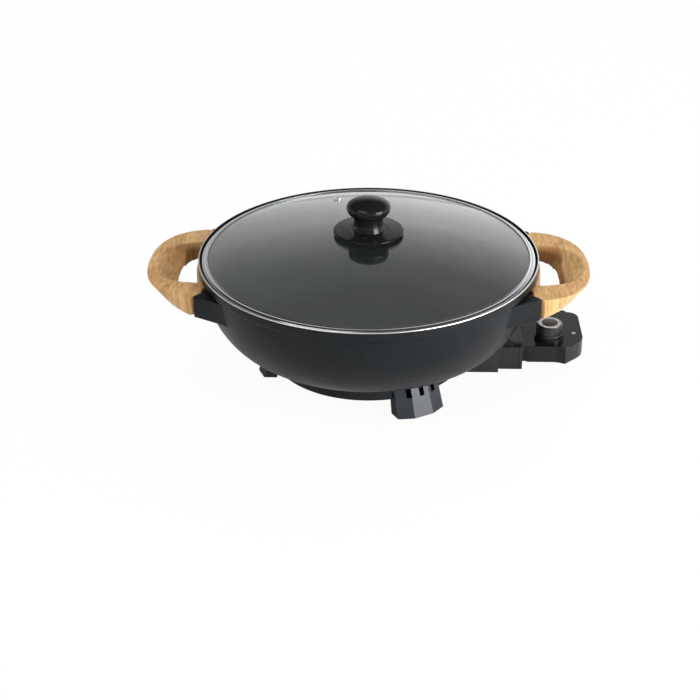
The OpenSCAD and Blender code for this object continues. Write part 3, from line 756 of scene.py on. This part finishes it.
LENS = moulded("lens", (0.55, 0.62, 0.72), 0.15, grain=0.004, Transmission_Weight=0.3)
LAMP = moulded("lamp_glass", (0.75, 0.45, 0.25), 0.1, grain=0.002, Transmission_Weight=0.6)


# ---- Pan --------------------------------------------------------------------


def bowl_curve(grow, count):
    """The bowl's outline from under the rim to its flat bottom."""
    wall_z = RIM_Z - BAND_H - BAND_SLOPE
    a = (WALL_R + grow, wall_z)
    b = (WALL_R + grow, wall_z - 2)
    c = (FLAT_R + BELLY + grow, BOWL_Z - grow)
    d = (FLAT_R, BOWL_Z - grow)
    result = []
    for i in range(count + 1):
        t = i / count
        s = 1 - t
        result.append(
            tuple(
                s**3 * a[k] + 3 * s * s * t * b[k] + 3 * s * t * t * c[k] + t**3 * d[k]
                for k in (0, 1)
            )
        )
    return result


def bowl():
    """Cast bowl with its rim and lid seat; the rim's machined edge has a finish of its own."""
    rim = rounded(
        [
            (WALL_R - WALL, SEAT_Z - 4),
            (WALL_R - WALL, SEAT_Z),
            (RIM_R - RIM_WALL, SEAT_Z),
            (RIM_R - RIM_WALL, RIM_Z),
            (RIM_R, RIM_Z),
            (RIM_R, RIM_Z - BAND_H),
            (WALL_R, RIM_Z - BAND_H - BAND_SLOPE),
            (WALL_R, RIM_Z - BAND_H - 4),
        ],
        [0, 0.8, 0.5, 0.45, 1.3, 1.2, 2.0, 0],
        steps=4,
        guard=0.2,
    )
    outside = [p for p in bowl_curve(0, 64) if p[1] < RIM_Z - BAND_H - 4.2]
    inside = [p for p in bowl_curve(-WALL, 64) if p[1] < SEAT_Z - 4.2]
    floor_z = BOWL_Z + WALL
    profile = (
        [(0, floor_z), (40, floor_z), (80, floor_z)]
        + inside[::-1]
        + rim
        + outside
        + [(80, BOWL_Z), (40, BOWL_Z), (0, BOWL_Z)]
    )
    mesh = turned("bowl", profile, COAT, segments=192)
    mesh.materials.append(EDGE)
    for face in mesh.polygons:
        x, y, z = face.center / MM
        if z > RIM_Z - EDGE_DROP and math.hypot(x, y) > RIM_R - EDGE_DROP:
            face.material_index = 1
    return mesh


def around(radius, degrees):
    """A point in 2-D by its radius and direction."""
    turn = math.radians(degrees)
    return Vector((radius * math.cos(turn), radius * math.sin(turn)))


def lug():
    """One lug, with rounded edges, that runs back into the bowl's wall."""
    tip = around(RIM_R + LUG_REACH, LUG_TIP_TURN)
    back = tip + around(LUG_FACE, 180 - LUG_FACE_TURN)
    root = around(RIM_R - 7, LUG_ROOT_TURN)
    joint = tip.x - tip.y
    low = (joint + math.sqrt(2 * LUG_ROOT_R**2 - joint**2)) / 2
    corners = [tip, back, root, (low, low - joint)]
    outline = rounded(corners, [3.2, 0, 0, 0], closed=True, steps=6)[:-1]
    work = bmesh.new()
    lower, upper = (
        [work.verts.new((x * MM, y * MM, z * MM)) for x, y in outline]
        for z in (LUG_TOP - LUG_H, LUG_TOP)
    )
    work.faces.new(upper)
    work.faces.new(lower[::-1])
    for i, j in zip(range(len(outline)), [*range(1, len(outline)), 0]):
        work.faces.new((lower[i], lower[j], upper[j], upper[i]))
    bmesh.ops.recalc_face_normals(work, faces=work.faces)
    outer_edges = [
        e
        for e in work.edges
        if abs(e.verts[0].co.z - e.verts[1].co.z) < 1e-6
        and min(Vector(v.co[:2]).length for v in e.verts) > (LUG_ROOT_R + 0.2) * MM
    ]
    eased_edges(work, outer_edges, 1.3, 3)
    return mesh_of("lug", work)


def four_ways(mesh):
    """A mesh in the four quarters, faces outwards."""
    work = bmesh.new()
    for sx in (1, -1):
        for sy in (1, -1):
            start = len(work.verts)
            work.from_mesh(mesh)
            work.verts.ensure_lookup_table()
            for vertex in work.verts[start:]:
                vertex.co.x *= sx
                vertex.co.y *= sy
    bmesh.ops.recalc_face_normals(work, faces=work.faces)
    return smooth(mesh_of(mesh.name + " four", work), 30)


def pan():
    whole = joined("pan", [bowl(), four_ways(lug())])
    for finish in (COAT, EDGE):
        whole.materials.append(finish)
    piece("pan_casting", whole, "wok", "pan_coating", ["pan", "handle_lugs"])
    bosses = eased("fixing_bosses", 0.3)
    piece("weld_bosses", bosses, "wok", "plate_steel", ["fixing_bosses"], PLATE_METAL)


# ---- Handles ----------------------------------------------------------------


def handle(source, name, finish, shade_x):
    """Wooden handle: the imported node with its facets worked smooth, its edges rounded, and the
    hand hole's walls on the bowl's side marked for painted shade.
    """
    made = thing("handle work", mesh_of(name, cad_mesh(source)))
    skin = made.modifiers.new("skin", "REMESH")
    skin.mode = "VOXEL"
    skin.voxel_size = 0.75 * MM
    sand = made.modifiers.new("sand", "SMOOTH")
    sand.factor = 0.5
    sand.iterations = 12
    mesh = taken(applied(made))
    mesh.shade_smooth()
    # Painted shade on the hand hole's walls that face its middle, on the bowl's side of the given
    # line, darker lower down
    wall = mesh.attributes.new("hole_wall_shade", "FLOAT", "POINT")
    for vertex, normal, hole_shade in zip(mesh.vertices, mesh.vertex_normals, wall.data):
        way = Vector((HOLE_X - abs(vertex.co.x) / MM, -vertex.co.y / MM)).normalized()
        facing = way.x * normal.vector.x * math.copysign(1, vertex.co.x) + way.y * normal.vector.y
        near = (shade_x - abs(vertex.co.x) / MM) / SHADE_EDGE
        deep = (LUG_TOP - 1.0 - vertex.co.z / MM) / SHADE_DEPTH
        hole_shade.value = (
            min(1.0, max(0.0, (facing - 0.2) / 0.25))
            * min(1.0, max(0.0, near))
            * min(1.0, max(0.25, deep))
        )
    return piece(name, mesh, "wok", "wood", [source], finish)


# ---- Lid --------------------------------------------------------------------


def dome(radius):
    """Height of the glass's top at a radius."""
    return CROWN_Z - DOME_R + math.sqrt(DOME_R**2 - radius**2)


def lid_glass():
    """Domed glass with its holes for the knob's screw and the vent."""
    steps = 40
    reach = GLASS_R - 0.1 - GLASS_HOLE_R
    radii = [GLASS_HOLE_R + reach * i / steps for i in range(steps + 1)]
    top = [(r, dome(r)) for r in radii]
    bottom = [(r, dome(r) - GLASS_T) for r in reversed(radii)]
    edge = [(GLASS_R, dome(GLASS_R) - 0.5), (GLASS_R, dome(GLASS_R) - GLASS_T + 0.5)]
    mesh = turned("glass", top + edge + bottom + [top[0]], GLASS, segments=160)
    made = thing("glass work", mesh)
    drill = [(0, 120), (VENT_HOLE_R, 120), (VENT_HOLE_R, 180), (0, 180)]
    cut(made, place(turned("hole", drill, GLASS, 40), at(*around(VENT_POS_R, VENT_TURN), 0)))
    piece("lid_glass_dome", shade(taken(made), 30), "lid", "glass", ["lid_glass"], GLASS)


def lid_band():
    """Rolled steel channel round the edge of the glass."""
    low = SEAT_Z + 0.3
    shoulder = BAND_R - 0.8
    lift = 0.15
    thick = 0.9

    def over(radius, height):
        return radius, dome(radius) + lift + height

    outer = [
        over(GLASS_IN_R, 0),
        over(GLASS_IN_R, 0.8),
        over(GLASS_IN_R + 0.9, 0.85),
        over(GLASS_IN_R + 1.8, 0.5),
        over(GLASS_IN_R + 3.6, 1.15),
        over(shoulder, thick),
        (BAND_R, dome(shoulder) + lift + thick - 1.1),
        (BAND_R, low),
        (GLASS_IN_R + 1, low),
        (GLASS_IN_R + 1, low + thick),
        (BAND_R - thick, low + thick),
        (BAND_R - thick, dome(GLASS_R) + lift),
    ]
    radii = [0.2, 0.35, 0.35, 0.6, 1.4, 0.8, 0.8, 0.7, 0.42, 0.42, 0.3, 0.2]
    profile = rounded(outer, radii, closed=True, steps=6)
    piece(
        "lid_steel_band",
        turned("band", profile, BAND_STEEL, segments=192),
        "lid",
        "polished_steel",
        ["lid_band"],
    )


def vent():
    """Steel eyelet of the steam vent, square to the glass."""
    grip = GLASS_T / 2 + 0.15
    profile = rounded(
        [
            (2.8, grip + 0.9),
            (5.4, grip + 0.9),
            (5.4, grip),
            (3.9, grip),
            (3.9, -grip),
            (5.4, -grip),
            (5.4, -grip - 0.9),
            (2.8, -grip - 0.9),
        ],
        [0.4, 0.42, 0.1, 0.1, 0.1, 0.1, 0.42, 0.4],
        closed=True,
        steps=4,
    )
    lean = math.degrees(math.asin(VENT_POS_R / DOME_R))
    spot = at(VENT_POS_R, 0, dome(VENT_POS_R) - GLASS_T / 2) @ turn_about("Y", lean)
    mesh = place(turned("vent", profile, BAND_STEEL, 48), turn_about("Z", VENT_TURN) @ spot)
    piece("steam_vent", mesh, "lid", "polished_steel", ["vent_grommet"])


def knob():
    """Turned knob: small flared foot, straight neck and crowned cap."""
    foot = NECK_R + 2
    waist_z = KNOB_Z + 0.2 * KNOB_H
    under_z = KNOB_Z + 0.44 * KNOB_H
    wide_z = KNOB_Z + 0.72 * KNOB_H
    rise = KNOB_Z + KNOB_H - wide_z
    quarter = [math.pi / 2 * t / 16 for t in range(1, 17)]
    flare = [
        (
            foot - (foot - NECK_R) * math.sin(w),
            KNOB_Z + 0.1 + (waist_z - KNOB_Z) * w / (math.pi / 2),
        )
        for w in [0.0] + quarter
    ]
    under = [
        (
            NECK_R + (CAP_R - NECK_R) * math.sin(w),
            under_z + (wide_z - under_z) * (1 - math.cos(w)),
        )
        for w in quarter
    ]
    crown = [(CAP_R * math.cos(w), wide_z + rise * math.sin(w)) for w in quarter]
    throat = [(NECK_R, under_z - 1.2), (NECK_R + 0.3, under_z - 0.35)]
    profile = [(0, KNOB_Z + 0.1), (foot - 1, KNOB_Z + 0.1)] + flare + throat + under + crown
    mesh = turned("knob", profile, GLOSS, 128)
    piece("knob_turned", mesh, "lid", "gloss_black", ["lid_knob"])


def finger_disc():
    """Disc that keeps fingers off the glass."""
    profile = rounded(
        [
            (0, DISC_Z),
            (DISC_R - 1.0, DISC_Z),
            (DISC_R, DISC_Z + 0.8),
            (DISC_R, DISC_Z + 1.9),
            (DISC_R - 1.4, DISC_Z + 2.5),
            (21.5, DISC_Z + DISC_T),
            (0, DISC_Z + DISC_T),
        ],
        [0, 0.5, 0.4, 0.9, 1.2, 3, 0],
        steps=5,
    )
    mesh = turned("disc", profile, GLOSS, 128)
    piece("knob_finger_disc", mesh, "lid", "gloss_black", ["knob_disc"])


# ---- Dial -------------------------------------------------------------------


def number_mesh(text, size):
    """A flat number as a thin mesh, centred at the origin."""
    letters = bpy.data.curves.new("number", "FONT")
    letters.body = text
    letters.size = size * MM
    letters.extrude = 0.06 * MM
    letters.resolution_u = 2
    letters.align_x = "CENTER"
    letters.align_y = "CENTER"
    holder = thing("number", letters)
    view = bpy.context.evaluated_depsgraph_get()
    mesh = bpy.data.meshes.new_from_object(holder.evaluated_get(view))
    bpy.data.objects.remove(holder)
    return mesh


def dial():
    """Dial with a ribbed grip, and a silver scale ring with marks and numbers."""
    top = DIAL_H
    body_profile = rounded(
        [
            (0, 0),
            (DIAL_R, 0),
            (DIAL_R, 1.8),
            (DIAL_R - 0.5, 2.2),
            (DIAL_R - 0.5, top - 0.8),
            (DIAL_R - 1.5, top),
            (8.7, top),
            (8.7, top + 0.5),
            (0, top + 0.5),
        ],
        [0, 0.4, 0.3, 0.2, 0.6, 0.5, 0.1, 0.4, 0],
        steps=4,
        guard=0.15,
    )
    body = turned("dial", body_profile, DIAL_BLACK, 96)
    rib = block("rib", (DIAL_R - 1.2, -0.42, 2.4), (DIAL_R - 0.02, 0.42, top - 1.3), 0.28, 2)
    ribs = round_about("ribs", rib, DIAL_BLACK, 48)
    mesh = joined("dial", [body, ribs])
    mesh.materials.append(DIAL_BLACK)
    place(mesh, at(DIAL_X, 0, DIAL_Z))
    smooth(mesh)
    piece("dial_grip", mesh, "dial", "gloss_black", ["dial"])

    low, high = top - 0.3, top + 0.12
    ring_profile = rounded(
        [(SCALE_IN, low), (SCALE_OUT, low), (SCALE_OUT, high), (SCALE_IN, high)],
        0.06,
        closed=True,
        steps=2,
        guard=0.05,
    )
    ring = turned("scale", ring_profile, DIAL_SILVER, 96)
    start = 90 - SWEEP / 2
    step = SWEEP / (MARKS - 1)
    mark = block("mark", (11.3, -0.3, top + 0.05), (12.7, 0.3, top + 0.2), 0.04, 1)
    marks = round_about(
        "marks", mark, DIAL_BLACK, MARKS, start=math.radians(start), step=math.radians(step)
    )
    numbers = []
    for i in range(NUMBERS):
        spin = turn_about("Z", 180 - start - SWEEP / (NUMBERS - 1) * i)
        spot = at(10.2, 0, top + 0.14) @ turn_about("Z", -90)
        numbers.append(place(number_mesh(str(i), 3.0), spin @ spot))
    figures = joined("figures", numbers)
    mesh = joined("scale", [ring, marks, figures], [DIAL_SILVER, DIAL_BLACK, DIAL_BLACK])
    place(mesh, at(DIAL_X, 0, DIAL_Z))
    piece("dial_scale_ring", mesh, "dial", "polished_steel", ["dial_scale"])


# ---- Temperature control ----------------------------------------------------


def clear_of(x, y, spots, distance=4.0):
    """Whether a place is further than a distance from each of some spots."""
    return all(math.hypot(x - spot[0], y - spot[1]) > distance for spot in spots)


def control():
    """Both halves of the housing, the window and the cord's sleeve."""

    def top_edge(x, y, z):
        flat = x > PLUG_END_X and abs(z - CONTROL_TOP) < 0.05
        return flat and clear_of(x, y, [(DIAL_X, 0)], COLLAR_R) and clear_of(x, y, [WINDOW])

    def low_edge(x, y, z):
        flat = x > PLUG_END_X and abs(z - CONTROL_LOW) < 0.05
        return flat and clear_of(x, y, LOW_SCREWS)

    for node_name, edges in (
        ("control_cover", (top_edge, 2.0, 4)),
        ("control_base", (low_edge, 1.0, 3)),
    ):
        mesh = eased(node_name, 0.35, wide=[edges])
        name = node_name + "_shell"
        piece(name, mesh, "control", "gloss_black", [node_name], CONTROL_GLOSS)

    profile = rounded([(0, 0), (2.6, 0), (2.6, 3.0), (0, 3.7)], [0, 0.1, 0.9, 0], steps=5)
    lens = place(turned("lens", profile, LENS, 48), at(*WINDOW))
    piece("indicator_window", lens, "control", "lens", ["indicator_lens"])

    spot = at(*GLAND) @ turn_about("X", -90)
    sleeve = place(turned("sleeve", sleeve_profile(), GLAND_RUBBER, 64), spot)
    piece("cord_sleeve", sleeve, "control", "gland_rubber", ["cord_gland"])


def sleeve_profile():
    """Outline of the cord's sleeve: collar, seat, collar and flex ribs that taper off."""
    seat = GLAND_R - 1.2
    collars = [
        (GLAND_BORE, 0),
        (GLAND_R, 0),
        (GLAND_R, 2.0),
        (seat, 2.2),
        (seat, 4.4),
        (GLAND_R, 4.6),
        (GLAND_R, 6.4),
    ]
    ribs = []
    for z in (6.4, 9.0, 11.6, 14.2):
        taper = (z - 6.4) / 11
        inner, outer = 5.0 - taper * 0.6, 5.9 - taper * 0.8
        ribs += [(inner, z + 0.5), (inner, z + 1.2), (outer, z + 1.7), (outer, z + 2.6)]
    end = [(5.0, GLAND_L), (GLAND_BORE, GLAND_L)]
    return rounded(collars + ribs + end, 0.22, closed=True, steps=3, guard=0.0)


# ---- Base -------------------------------------------------------------------


def screw_mesh(head_r, head_h, shaft_r, length):
    """Pan-head screw with a cross recess, head down at z = 0."""
    profile = rounded(
        [
            (0, -head_h),
            (head_r * 0.6, -head_h),
            (head_r, -head_h * 0.35),
            (head_r, 0),
            (shaft_r, 0),
            (shaft_r, length),
            (0, length),
        ],
        [0, 1.2, 0.5, 0.1, 0.1, 0.3, 0],
        steps=4,
        guard=0.1,
    )
    made = thing("screw", turned("screw", profile, SCREW_STEEL, 48))
    arm = block("arm", (-2.0, -0.4, -head_h - 1), (2.0, 0.4, -head_h + 1.3))
    for turn in (0, 90):
        cut(made, place(arm.copy(), turn_about("Z", turn)))
    return shade(taken(made), 30)


def base():
    """Ring, feet with their buttons, guard and the screws that hold them."""
    ring = eased("base_ring", 0.5)
    piece("base_ring_moulding", ring, "wok", "satin_black", ["base_ring"], RING_BLACK)
    for name, degrees in FOOT_TURNS.items():
        out = around(1, degrees)

        def low_side(x, y, z, out=out):
            across = abs(y * out.x - x * out.y)
            return z < 8 and across > 26.2 and x * out.x + y * out.y < 114

        mesh = eased(name, 0.6, steps=3, limit=20, crease=1, wide=[(low_side, 3.5, 4)])
        piece(name + "_moulding", mesh, "wok", "foot_plastic", [name], FOOT_BLACK)
    guard = eased("socket_guard", 0.6, steps=3)
    piece("socket_guard_moulding", guard, "wok", "satin_black", ["socket_guard"], GUARD_BLACK)
    piece("foot_buttons", eased("foot_pads", 0.3), "wok", "rubber", ["foot_pads"], RUBBER)

    screw = place(screw_mesh(3.6, 2.4, 2.0, 14.2), at(*BASE_SCREW))
    screws = smooth(round_about("base screws", screw, SCREW_STEEL, 3, start=math.pi / 3))
    piece("base_screw_set", screws, "wok", "bright_steel", ["base_screws"])
    x, y, z = GUARD_SCREW
    pair = [place(screw_mesh(3.6, 2.4, 2.0, 23.0), at(x, side * y, z)) for side in (-1, 1)]
    screws = smooth(joined("guard screws", pair, [SCREW_STEEL, SCREW_STEEL]))
    piece("guard_screw_set", screws, "wok", "bright_steel", ["guard_screws"])


# ---- Assembly ---------------------------------------------------------------

pan()
# The last number is the line across the handle where the painted shade in the hand hole stops
handle("handle_right", "wooden_handle_right", WOOD_RIGHT, 210.0)
handle("handle_left", "wooden_handle_left", WOOD_LEFT, 203.0)
lid_glass()
lid_band()
vent()
knob()
finger_disc()
dial()
control()
base()

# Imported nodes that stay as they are, with their finishes
INNER = {
    "heating_element": SHEATH,
    "terminal_pins": SCREW_STEEL,
    "probe_guide": SCREW_STEEL,
    "heat_plate": PLATE_METAL,
    "handle_studs": SCREW_STEEL,
    "knob_seal": RUBBER,
    "knob_washer": RUBBER,
    "knob_screw": SCREW_STEEL,
    "contact_block": INSULATOR,
    "contact_sleeves": CONTACT_BRASS,
    "probe_rod": SCREW_STEEL,
    "switch_frame": INSULATOR,
    "dial_shaft": SCREW_STEEL,
    "indicator_lamp": LAMP,
    "cord_clamp": INSULATOR,
    "clamp_screws": SCREW_STEEL,
    "control_screws": SCREW_STEEL,
}
for name, finish in INNER.items():
    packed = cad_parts[name]
    if not packed.material_slots:
        packed.data.materials.append(finish)
    for holder in packed.material_slots:
        holder.material = finish


# ---- Studio -----------------------------------------------------------------


def studio_floor():
    """Pale floor that keeps the wok's shadow and is white to the eye."""
    mesh = bpy.data.meshes.new("floor")
    corners = [(-6, -6, 0), (6, -6, 0), (6, 6, 0), (-6, 6, 0)]
    mesh.from_pydata(corners, [], [(0, 1, 2, 3)])
    floor = thing("floor", mesh)
    made = Finish("floor_white", (0.9, 0.9, 0.9), 0.8, Specular_IOR_Level=0.1)
    tree = made.tree
    glow = node(tree, "ShaderNodeEmission", {0: (1, 1, 1, 1), 1: 1.0})
    rays = tree.nodes.new("ShaderNodeLightPath")
    seen = calc(tree, "MAXIMUM", rays.outputs["Is Camera Ray"], rays.outputs["Is Transmission Ray"])
    mix = node(
        tree,
        "ShaderNodeMixShader",
        {
            0: calc(tree, "MULTIPLY", seen, 0.95),
            1: made.shader.outputs[0],
            2: glow.outputs[0],
        },
    )
    tree.links.new(mix.outputs[0], tree.nodes["Material Output"].inputs["Surface"])
    mesh.materials.append(made.material)


def studio_world():
    """White backdrop that darkens overhead in reflections, softer light for what is lit."""
    world = bpy.data.worlds.new("studio")
    bpy.context.scene.world = world
    world.use_nodes = True
    tree = world.node_tree
    tree.nodes.clear()
    rays = tree.nodes.new("ShaderNodeLightPath")
    way = node(
        tree,
        "ShaderNodeSeparateXYZ",
        {0: tree.nodes.new("ShaderNodeTexCoord").outputs["Generated"]},
    )
    sky = spread(tree, way.outputs[2], 0.30, 0.62, 1.25, 0.07)
    front = spread(tree, way.outputs[1], -0.1, -0.8, 1.0, 0.35)
    side = spread(tree, way.outputs[0], -0.3, 0.1, 0.4, 1.0)
    mirrored = calc(tree, "MULTIPLY", calc(tree, "MULTIPLY", sky, front), side)
    lit = node(
        tree,
        "ShaderNodeMix",
        {0: rays.outputs["Is Glossy Ray"], 2: 0.55, 3: mirrored},
        data_type="FLOAT",
    ).outputs[0]
    seen = calc(tree, "MAXIMUM", rays.outputs["Is Camera Ray"], rays.outputs["Is Transmission Ray"])
    final = node(tree, "ShaderNodeMix", {0: seen, 2: lit, 3: 1.0}, data_type="FLOAT").outputs[0]
    back = node(tree, "ShaderNodeBackground", {0: (1, 1, 1, 1), 1: final})
    out = tree.nodes.new("ShaderNodeOutputWorld")
    tree.links.new(back.outputs[0], out.inputs[0])


def softbox(name, place_at, size, watts, mirrored=True):
    """A lamp in metres and watts, aimed at the wok; it may show in reflections."""
    lamp = bpy.data.lights.new(name, "AREA")
    lamp.shape = "RECTANGLE"
    lamp.size, lamp.size_y = size
    lamp.energy = watts
    holder = thing(name, lamp)
    aimed(holder, place_at, (0, 0, 0.1))
    holder.visible_glossy = mirrored
    holder.visible_transmission = False


def aimed(holder, place_at, target):
    """Puts a lamp or camera at a place and turns it to a target."""
    way = Vector(target) - Vector(place_at)
    holder.location = place_at
    holder.rotation_euler = way.to_track_quat("-Z", "Y").to_euler()


def photo_camera():
    """The photograph's camera, above the rim's centre by the height that was fitted."""
    eye = bpy.data.cameras.new("camera")
    eye.sensor_width = 36.0
    eye.lens = eye.sensor_width * FOCUS / FRAME
    eye.shift_x = -(CENTRE[0] - FRAME / 2) / FRAME
    eye.shift_y = -(FRAME / 2 - CENTRE[1]) / FRAME
    rim = Vector((0, 0, RIM_Z * MM))
    holder = thing("camera", eye)
    aimed(holder, rim + Vector(EYE), rim)
    bpy.context.scene.camera = holder


studio_floor()
studio_world()
softbox("key", (-0.85, -1.15, 1.6), (1.5, 1.1), 14)
softbox("fill", (1.40, -0.95, 0.46), (1.0, 0.8), 38)
softbox("back", (0.3, 1.6, 1.6), (1.8, 0.7), 16, mirrored=False)
photo_camera()
bpy.context.scene.view_settings.view_transform = "Standard"
